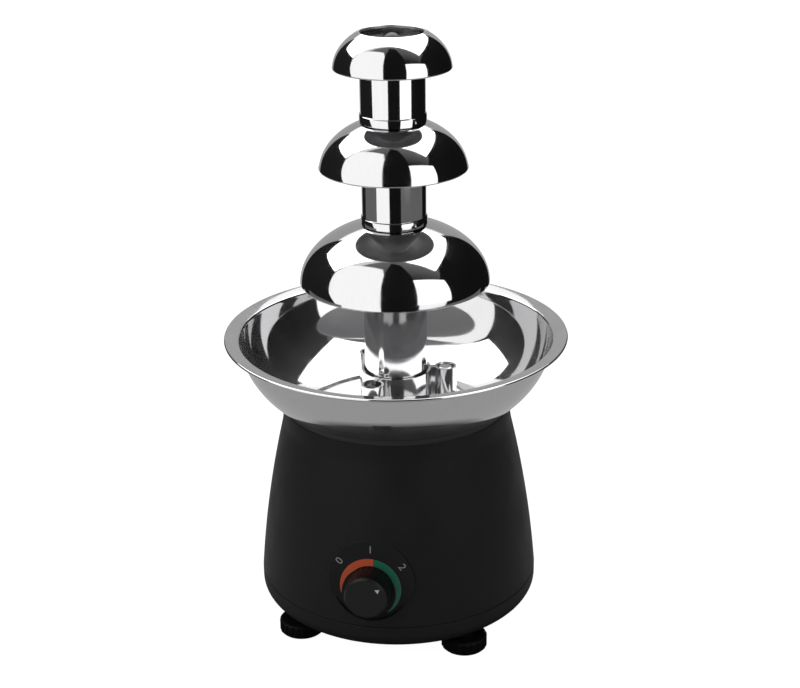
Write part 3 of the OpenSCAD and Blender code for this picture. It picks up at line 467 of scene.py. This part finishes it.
def cut(piece, cutter):
    """Take a cutter's shape out of a piece and delete the cutter."""
    clear_selection()
    bpy.context.view_layer.objects.active = piece
    piece.select_set(True)
    taking = piece.modifiers.new("cut", "BOOLEAN")
    taking.operation = "DIFFERENCE"
    taking.solver = "EXACT"
    taking.object = cutter
    bpy.ops.object.modifier_apply(modifier="cut")
    bpy.data.objects.remove(cutter)


def dimple(piece, radius, turn, height, ball, depth):
    """Press a ball a little into a tube's side, at a turn in degrees."""
    clear_selection()
    reach = (radius + ball - depth) * MM
    turn = math.radians(turn)
    bpy.ops.mesh.primitive_uv_sphere_add(segments=128, ring_count=96, radius=ball * MM, location=(
        reach * math.cos(turn), reach * math.sin(turn), height * MM))
    cut(piece, bpy.context.object)
    bpy.ops.object.shade_smooth_by_angle(angle=DIMPLE_EDGE)
    print(piece.name, "faces with its dimple:", len(piece.data.polygons))


dimple(upper_tube, BAND_R, -38, middle_neck + SLIP + BAND_H / 2, ball=2.4, depth=0.16)
dimple(middle_tube, BAND_R, -40, lower_neck + SLIP + BAND_H / 2, ball=2.4, depth=0.16)
dimple(lower_tube, TUBE_R, -106, COLLAR_TOP + 5.6, ball=8.0, depth=0.35)
dress(upper_tube, "top_section", "polished_steel", tower_steel, "upper_tube", inside=bore_steel)
dress(middle_tube, "middle_section", "polished_steel", tower_steel, "middle_tube", inside=bore_steel)
dress(lower_tube, "lower_section", "polished_steel", foot_steel, "lower_tube", inside=bore_steel)

# %% [markdown]
# The bowl is pressed from one sheet: a small flat floor, one round curve up out of it and a flange that
# rises slightly to a hemmed edge. The corner between wall and flange is rounded by a small circle that
# touches both faces, and its highlight is the bright line in front. The bowl is spun in twice as many steps
# as the tiers, because its large mirror shows every facet.

# %% Bowl
BOWL_R = 113.5
FLANGE_W = 9.1
FLANGE_RISE = 1.5
BUSH_HOLE_R = 9.05
RIM_Z = FLOOR_UNDER + 54.1
WALL_ARC = 61.0
LIP_ROUND = 1.7
inner_arc = WALL_ARC - SHEET
wall_top = Vector((BOWL_R - FLANGE_W, RIM_Z - FLANGE_RISE))
wall_centre = Vector((0, FLOOR_UNDER + WALL_ARC))
wall_centre.x = wall_top.x - math.sqrt(WALL_ARC ** 2 - (wall_centre.y - wall_top.y) ** 2)
turn_top = -math.degrees(math.asin((wall_centre.y - wall_top.y) / WALL_ARC))
edge = Vector((BOWL_R - SHEET, RIM_Z))
flange_start = wall_top + Vector((0, SHEET))
along = (edge + Vector((0, SHEET / 2)) - flange_start).normalized()
under = flange_start + LIP_ROUND * Vector((along.y, -along.x)) - wall_centre
step = under.dot(along)
reach = math.sqrt(step ** 2 - under.dot(under) + (inner_arc + LIP_ROUND) ** 2) - step
lip = wall_centre + under + reach * along
turn_lip = math.degrees(math.atan2(lip.y - wall_centre.y, lip.x - wall_centre.x))
turn_flange = 90 + math.degrees(math.atan2(along.y, along.x))
bowl_section = ([(BUSH_HOLE_R, FLOOR_UNDER + SHEET), (BUSH_HOLE_R, FLOOR_UNDER)]
                + arc(wall_centre, WALL_ARC, -90, turn_top, 72)
                + arc(edge, SHEET, turn_flange - 180, turn_flange, 16)
                + arc(lip, LIP_ROUND, turn_flange, 180 + turn_lip, 10)
                + arc(wall_centre, inner_arc, turn_lip, -90, 72)[1:])
bowl = turned("bowl_pressed", bowl_section, steps=288)
dress(bowl, "base", "polished_steel", bowl_steel, "bowl")

# %% [markdown]
# The base shell is one tapered moulding. Its side is a very flat arc with an almost upright neck under the
# bowl. The edge at the seam and the one under the bowl are rounded, as a mould needs.

# %% Base shell
SEAM_Z, SEAM_R = 31.3, 94.5
SEAM_ROUND, SEAM_HALF = 0.7, 0.12
SIDE_ARC, SEAM_OVER_CENTRE = 714.0, 60
NECK_Z, SHELL_TOP = 139.8, 152.8
NECK_BEND, NECK_IN = 3, 0.6
TOP_ROUND = 0.8
WALL = 2.5
side_centre = (SEAM_R - math.sqrt(SIDE_ARC ** 2 - SEAM_OVER_CENTRE ** 2), SEAM_Z - SEAM_OVER_CENTRE)


def side_radius(z):
    """Outer radius of the shell's side at a height."""
    return side_centre[0] + math.sqrt(SIDE_ARC ** 2 - (z - side_centre[1]) ** 2)


top_r = side_radius(NECK_Z) - NECK_IN


def side_section(inset, bottom, steps=40):
    """The shell's side from the bottom up, with the bend into its neck."""
    bend_z = NECK_Z - NECK_BEND
    heights = [bottom + (bend_z - bottom) * i / steps for i in range(steps + 1)]
    side = [(side_radius(z) - inset, z) for z in heights]
    bend = [(side_radius(bend_z + k) - inset + 0.012 * k * k, bend_z + k) for k in (1.5, 3, 4.5, 6)]
    return side + bend + [(top_r - inset, SHELL_TOP - TOP_ROUND)]


seam_edge = SEAM_Z + SEAM_HALF + SEAM_ROUND
shell_section = (arc((SEAM_R - SEAM_ROUND, seam_edge), SEAM_ROUND, -90, 0, 6)[:-1]
                 + side_section(0, seam_edge + 0.03)
                 + arc((top_r - TOP_ROUND, SHELL_TOP - TOP_ROUND), TOP_ROUND, 0, 90, 6)[1:]
                 + [(top_r - WALL, SHELL_TOP)] + side_section(WALL, SEAM_Z + SEAM_HALF)[::-1])
shell = turned("shell_moulding", shell_section, steps=192)

# %% [markdown]
# The dial sits on a flat that is cut into the front, deepest at its lower edge; a Boolean with a tilted
# cylinder cuts it as a milling cutter would. A disc behind the flat closes it where the cut goes through the
# wall. It stands a hair over the cut's floor, because two faces in one place would shade each other.

# %% Dial flat
DIAL_Z, DIAL_DEPTH, DIAL_RISE = 57.5, 2.8, 4.5
DIAL_TILT = math.radians(87)
RECESS_R, CUT_DEPTH = 26.5, 14.0
PLATE_R, PLATE_T, PLATE_EDGE, PLATE_TOP = 28.6, 2.6, 0.5, 0.02
dial_place = Matrix.Translation((0, (DIAL_DEPTH - side_radius(DIAL_Z)) * MM, DIAL_Z * MM))
dial_frame = dial_place @ Matrix.Rotation(DIAL_TILT, 4, "X")
on_flat = Matrix.Translation((0, DIAL_RISE * MM, 0))


def set_on_dial(piece, where):
    """Move a piece, made round the origin, on to the dial's flat and apply that place to its mesh."""
    clear_selection()
    piece.select_set(True)
    bpy.context.view_layer.objects.active = piece
    piece.matrix_world = dial_frame @ where
    bpy.ops.object.transform_apply(location=True, rotation=True, scale=True)
    return piece


dial_plate = turned("dial_plate", [
    (0, PLATE_TOP), (PLATE_R - PLATE_EDGE, PLATE_TOP), (PLATE_R, -PLATE_EDGE),
    (PLATE_R, PLATE_EDGE - PLATE_T), (PLATE_R - PLATE_EDGE, -PLATE_T), (0, -PLATE_T)], steps=96)
set_on_dial(dial_plate, on_flat)
dial_cutter = turned("dial_cutter", [
    (0, 0), (RECESS_R, 0), (RECESS_R, CUT_DEPTH), (0, CUT_DEPTH)], steps=96)
cut(shell, set_on_dial(dial_cutter, on_flat))
MOULDED_EDGE = math.radians(30)
bpy.ops.object.shade_smooth_by_angle(angle=MOULDED_EDGE)
dress(shell, "base", "base_plastic", base_black, "base_shell")
dress(dial_plate, "base", "base_plastic", base_black)
print("shell faces:", len(shell.data.polygons))

# %% [markdown]
# The bottom cover is a shallow dish with a generous radius at its edge and a lip that reaches up into the
# shell. It meets the shell at a seam, where both edges are broken a little, so a thin dark line runs round
# the base. Vents, screw pockets and the seats of the feet are cut through its floor. All the cutters are
# joined first, so that one Boolean does it.

# %% Bottom cover
COVER_Z = 14.5
ROUND = 10.0
LIP_GAP, LIP_H, LIP_T = 0.3, 3, 2
VENTS, VENT_RING, VENT = 9, 40, Vector((20, 3, 12))
POCKET_R, POCKET_RING, POCKET_TURN = 4.0, 74, 60
INSERT_R, INSERT_RING, INSERT_TURN = 6.05, 79, 45
lip_r = SEAM_R - WALL - LIP_GAP
cover_section = ([(0.0, COVER_Z + WALL), (0.0, COVER_Z)]
                 + arc((SEAM_R - ROUND, COVER_Z + ROUND), ROUND, -90, 0, 18)
                 + arc((SEAM_R - SEAM_ROUND, SEAM_Z - SEAM_HALF - SEAM_ROUND), SEAM_ROUND, 0, 90, 6)
                 + [(lip_r, SEAM_Z - SEAM_HALF), (lip_r, SEAM_Z + LIP_H), (lip_r - LIP_T, SEAM_Z + LIP_H),
                    (lip_r - LIP_T, SEAM_Z - LIP_H), (SEAM_R - WALL, SEAM_Z - LIP_H)]
                 + arc((SEAM_R - ROUND, COVER_Z + ROUND), ROUND - WALL, 0, -90, 12))
cover = turned("cover_moulding", cover_section, steps=192)


def on_cover(ring, turn):
    """A place on the cover's floor, at a ring's radius in millimetres and a turn in radians."""
    return Vector((ring * math.cos(turn), ring * math.sin(turn), COVER_Z)) * MM


clear_selection()
cutters = []
for k in range(VENTS):
    turn = math.radians(360 / VENTS * k)
    bpy.ops.mesh.primitive_cube_add(size=1, rotation=(0, 0, turn), location=on_cover(VENT_RING, turn))
    bpy.context.object.scale = VENT * MM
    cutters.append(bpy.context.object)
for k in range(4):
    for radius, ring, start in ((POCKET_R, POCKET_RING, POCKET_TURN), (INSERT_R, INSERT_RING, INSERT_TURN)):
        bpy.ops.mesh.primitive_cylinder_add(vertices=48, radius=radius * MM, depth=VENT.z * MM,
                                            location=on_cover(ring, math.radians(start + 90 * k)))
        cutters.append(bpy.context.object)
clear_selection()
for cutter in cutters:
    cutter.select_set(True)
bpy.context.view_layer.objects.active = cutters[0]
bpy.ops.object.join()
bpy.ops.object.transform_apply(location=True, rotation=True, scale=True)
cut(cover, bpy.context.object)
bpy.ops.object.shade_smooth_by_angle(angle=MOULDED_EDGE)
dress(cover, "base", "base_plastic", base_black, "bottom_cover")
print("cover faces:", len(cover.data.polygons))

# %% [markdown]
# The scale round the knob is printed. Two pointed crescents, orange for heat and green for running, lie on
# the flat. Each print is a film a few hundredths of a millimetre thick, made flat on the XY plane by drawing
# its outline, filling it and extruding it, and then moved on to the dial. An image would do it too, but it
# would blur close up.

# %% Printed crescents
FILM = 0.04
SCALE_R, SCALE_W = 20.3, 5.0
SCALE_STEPS = 48
FULL_FROM = 0.55


def crescent(name, tip, end, finish):
    """A ring sector on the dial that grows from nothing at its tip to its full width at its end."""
    outside, inside = [], []
    for k in range(SCALE_STEPS + 1):
        angle = math.radians(tip + (end - tip) * k / SCALE_STEPS)
        ray = Vector((math.cos(angle), math.sin(angle), 0)) * MM
        width = SCALE_W * min(1, k / SCALE_STEPS / FULL_FROM) ** 0.8
        outside.append(ray * SCALE_R)
        inside.append(ray * (SCALE_R - width))
    piece = outline(name, outside + inside[:0:-1])
    bpy.ops.mesh.edge_face_add()
    bpy.ops.mesh.extrude_region_move(TRANSFORM_OT_translate={"value": (0, 0, FILM * MM)})
    bpy.ops.mesh.select_all(action="SELECT")
    bpy.ops.mesh.normals_make_consistent(inside=False)
    bpy.ops.object.mode_set(mode="OBJECT")
    dress(set_on_dial(piece, Matrix()), "base", "mark_white", finish)
    print(name, "faces:", len(piece.data.polygons))


crescent("scale_orange", 197, 84, print_orange)
crescent("scale_green", -57, 83.2, print_green)

# %% [markdown]
# The three positions of the knob are numbered in pale grey. A digit starts as a text object with a little
# thickness, becomes a mesh and is then turned and moved to its place round the scale.

# %% Printed digits
DIGIT_R, DIGIT_H = 26.6, 5.2
CAP_SHARE = 0.7


def digit(text, angle):
    """A digit that stands upright on the ray at its angle, in radians."""
    clear_selection()
    bpy.ops.object.text_add()
    letter = bpy.context.object
    letter.data.body = text
    letter.data.align_x = letter.data.align_y = "CENTER"
    letter.data.size = DIGIT_H * MM / CAP_SHARE
    letter.data.extrude = FILM / 2 * MM
    bpy.ops.object.convert(target="MESH")
    piece = bpy.context.object
    piece.name = "scale_digit_" + text
    place = Vector((DIGIT_R * math.cos(angle), DIGIT_R * math.sin(angle), FILM / 2)) * MM
    set_on_dial(piece, Matrix.Translation(place) @ Matrix.Rotation(angle - math.pi / 2, 4, "Z"))
    dress(piece, "base", "mark_white", print_grey)
    print(piece.name, "faces:", len(piece.data.polygons))


for text, angle in (("0", 140), ("1", 90), ("2", 38.5)):
    digit(text, math.radians(angle))

# %% [markdown]
# The studio is what the steel shows, so it is built as a photographer builds it, from panels and cards. The
# helpers here make a glowing finish, an outline filled to a flat card, and a card that is placed by the
# directions in which the tower sees its corners. Cards and panels are seen in mirrors only: they cast no
# shadow, and the camera looks through them.

# %% Studio: helpers
TOWER_MIDDLE = 0.32


def glow(name, strength):
    """A finish that gives light of an even strength."""
    finish = bpy.data.materials.new(name)
    finish.use_nodes = True
    tree = finish.node_tree
    tree.nodes.clear()
    light = node(tree, "ShaderNodeEmission", {"Strength": strength})
    out = node(tree, "ShaderNodeOutputMaterial")
    join(tree, light, "Emission", out, "Surface")
    return finish


def fading(name, near, far, inner, outer, along=None):
    """A glow that changes with the distance from the origin, or with the place along a direction."""
    finish = glow(name, inner)
    tree = finish.node_tree
    place = node(tree, "ShaderNodeTexCoord")
    measure = node(tree, "ShaderNodeVectorMath", operation="DOT_PRODUCT" if along else "LENGTH")
    if along:
        measure.inputs[1].default_value = along
    spread = ramp(tree, near, far, inner, outer)
    join(tree, place, "Object", measure, 0)
    join(tree, measure, "Value", spread, "Value")
    join(tree, spread, "Result", tree.nodes["Emission"], "Strength")
    return finish


def card(name, points, finish):
    """A flat card through its corner points, drawn corner by corner and filled, that only mirrors see."""
    piece = outline(name, points)
    bpy.ops.mesh.edge_face_add()
    bpy.ops.object.mode_set(mode="OBJECT")
    piece.data.materials.append(finish)
    piece.visible_camera = piece.visible_diffuse = piece.visible_shadow = False
    piece.visible_transmission = piece.visible_volume_scatter = False


def toward(name, corners, distance, finish):
    """A card whose corners lie in given directions from the tower: degrees right of the camera and up."""
    points = []
    for turn, rise in corners:
        turn, rise = math.radians(turn), math.radians(rise)
        out = distance * math.cos(rise)
        points.append(seen_from_camera(out * math.sin(turn), -out * math.cos(turn),
                                       TOWER_MIDDLE + distance * math.sin(rise)))
    card(name, points, finish)


def band(name, turns, rises, distance, finish):
    """A card between two rises, bent at its middle turn so that it keeps its distance."""
    low, high = rises
    corners = [(turn, low) for turn in turns] + [(turn, high) for turn in reversed(turns)]
    toward(name, corners, distance, finish)


def level(name, left, right, near, far, height, finish):
    """A level card, in metres right of and away from the tower as the camera sees it."""
    card(name, [seen_from_camera(x, y, height) for x, y in
                ((left, near), (right, near), (right, far), (left, far))], finish)


print("studio helpers ready")

# %% [markdown]
# Two big white panels stand left and right of the camera and one hangs above and behind; black cards stand
# between them. Together they make the hard-edged light and dark fields on tubes and domes. Their corners
# were found from the edges of those fields in the photograph. Below, grey cards stand for the table, with a
# low white panel past it on the right, and the wall behind is grey with a lighter strip above it. The level
# table card glows much darker under the base: a painted shadow of the object, which the mirrors show.

# %% Studio: panels and cards
panel_bright = glow("panel bright", 3.8)
panel_white = glow("panel white", 2.0)
panel_soft = glow("panel soft", 1.55)
card_black = glow("card black", 0.007)
card_dark = glow("card dark", 0.015)
back_grey = glow("back grey", 0.45)
ceiling_grey = fading("ceiling grey", -1.6, -0.05, 0.02, 0.2, along=seen_from_camera(0, 1, 0))
# painted shadow: the table card is almost black within a tenth of a metre of the axis, where the object
# shades the table
table_with_painted_shadow = fading("table grey with painted shadow", 0.1, 0.135, 0.03, 0.5)
table_far = glow("table far", 0.18)
toward("panel_left", [(-66, -30), (-72, -16), (-83, 0), (-90, 18), (-97, 33), (-97, 50), (-80, 63),
                      (-37, 71), (-24, 62), (-20, 40), (-17, 10), (-16, -30)], 1.3, panel_soft)
card("panel_right", [seen_from_camera(0.125, -0.29, 0.24), seen_from_camera(0.55, -0.25, 0.2),
                     seen_from_camera(0.71, -0.25, 0.763), seen_from_camera(0.155, -0.29, 0.63)],
     panel_white)
card("panel_above", [seen_from_camera(-1.5, 0.25, 1.32), seen_from_camera(0.83, -0.19, 1.32),
                     seen_from_camera(0.83, 1.55, 1.32), seen_from_camera(-1.5, 1.55, 1.32)],
     panel_bright)
toward("card_front", [(-18, -40), (25, -40), (27, 30), (32, 60), (30, 80), (-30, 84), (-24, 62), (-19, 30)],
       1.5, card_black)
toward("card_left", [(-152, -40), (-110, -40), (-66, -40), (-78, 45), (-110, 45), (-152, 45)],
       3.2, card_dark)
toward("card_right", [(55, -40), (110, -40), (156, -40), (156, 55), (110, 60), (78, 45), (66, 36), (62, 0)],
       3.0, card_black)
band("table_left", (-120, -92, -64), (-40, -15.5), 0.9, table_far)
band("table_right", (24, 70, 118), (-40, -15.5), 0.9, table_far)
toward("panel_low", [(24, -20), (58, -20), (64, 2), (26, 2)], 2.9, panel_soft)
level("ceiling", -4, 4, -5, -0.05, 2.6, ceiling_grey)
level("table_card", -0.6, 0.6, -0.6, 0.6, 0.0006, table_with_painted_shadow)
band("back_card", (152, 180, 208), (-40, 25), 3.4, back_grey)
band("back_panel", (152, 180, 208), (25, 45), 3.4, panel_soft)
print("studio cards stand")

# %% [markdown]
# Lamps light the matt pieces: a large soft one on each side and one above and behind, all aimed at the bowl.
# They stay out of the mirrors, because the panels are seen there already.

# %% Lamps
LAMP_AIM = Vector((0, 0, 0.18))


def lamp(name, place, size, power):
    """A soft rectangular lamp, sizes in metres, that mirrors don't show."""
    bpy.ops.object.light_add(type="AREA", location=place)
    light = bpy.context.object
    light.name = name
    light.data.shape = "RECTANGLE"
    light.data.size, light.data.size_y = size
    light.data.energy = power
    light.rotation_euler = (LAMP_AIM - place).to_track_quat("-Z", "Y").to_euler()
    light.visible_glossy = False


lamp("lamp_left", seen_from_camera(-1.3, -0.9, 1.1), (1.2, 1.6), 7)
lamp("lamp_right", seen_from_camera(1.2, -0.8, 0.9), (0.9, 1.3), 4)
lamp("lamp_above", seen_from_camera(-0.2, 0.6, 1.9), (1.8, 1.6), 9)
print("lamps ready")

# %% [markdown]
# The background is white, as in a catalogue. Floor and world are white to the rays that are looked along,
# from camera, mirror or glass, and give only a little light otherwise, so that the black base isn't washed
# out. The floor is matt paper lifted almost to white, so the object's shadow stays on it, faintly. Mirrors
# leave the floor out, because they show the table cards instead.

# %% Floor and background
def white_to_camera(tree, plain, white):
    """Mix a plain shader with a white one that camera, mirror and glass rays see."""
    path = node(tree, "ShaderNodeLightPath")
    either = node(tree, "ShaderNodeMath", operation="MAXIMUM")
    any_of = node(tree, "ShaderNodeMath", operation="MAXIMUM")
    mix = node(tree, "ShaderNodeMixShader")
    join(tree, path, "Is Camera Ray", either, 0)
    join(tree, path, "Is Glossy Ray", either, 1)
    join(tree, either, "Value", any_of, 0)
    join(tree, path, "Is Transmission Ray", any_of, 1)
    join(tree, any_of, "Value", mix, 0)
    tree.links.new(plain, mix.inputs[1])
    tree.links.new(white, mix.inputs[2])
    return mix


clear_selection()
bpy.ops.mesh.primitive_plane_add(size=14, location=(0, 0, 0))
floor = bpy.context.object
floor.name = "floor"
paper = bpy.data.materials.new("floor paper")
paper.use_nodes = True
tree = paper.node_tree
tree.nodes.clear()
matt = node(tree, "ShaderNodeBsdfDiffuse", {"Color": (0.3, 0.3, 0.3, 1)})
lift = node(tree, "ShaderNodeEmission", {"Strength": 0.97})
both = node(tree, "ShaderNodeAddShader")
join(tree, matt, "BSDF", both, 0)
join(tree, lift, "Emission", both, 1)
mix = white_to_camera(tree, matt.outputs["BSDF"], both.outputs["Shader"])
out = node(tree, "ShaderNodeOutputMaterial")
join(tree, mix, "Shader", out, "Surface")
floor.data.materials.append(paper)
floor.visible_glossy = False

world = bpy.data.worlds.new("studio")
scene.world = world
world.use_nodes = True
tree = world.node_tree
tree.nodes.clear()
fill = node(tree, "ShaderNodeBackground", {"Color": (1, 1, 1, 1), "Strength": 0.2})
white = node(tree, "ShaderNodeBackground", {"Color": (1, 1, 1, 1), "Strength": 1.0})
mix = white_to_camera(tree, fill.outputs["Background"], white.outputs["Background"])
out = node(tree, "ShaderNodeOutputWorld")
join(tree, mix, "Shader", out, "Surface")
print("floor and background ready")
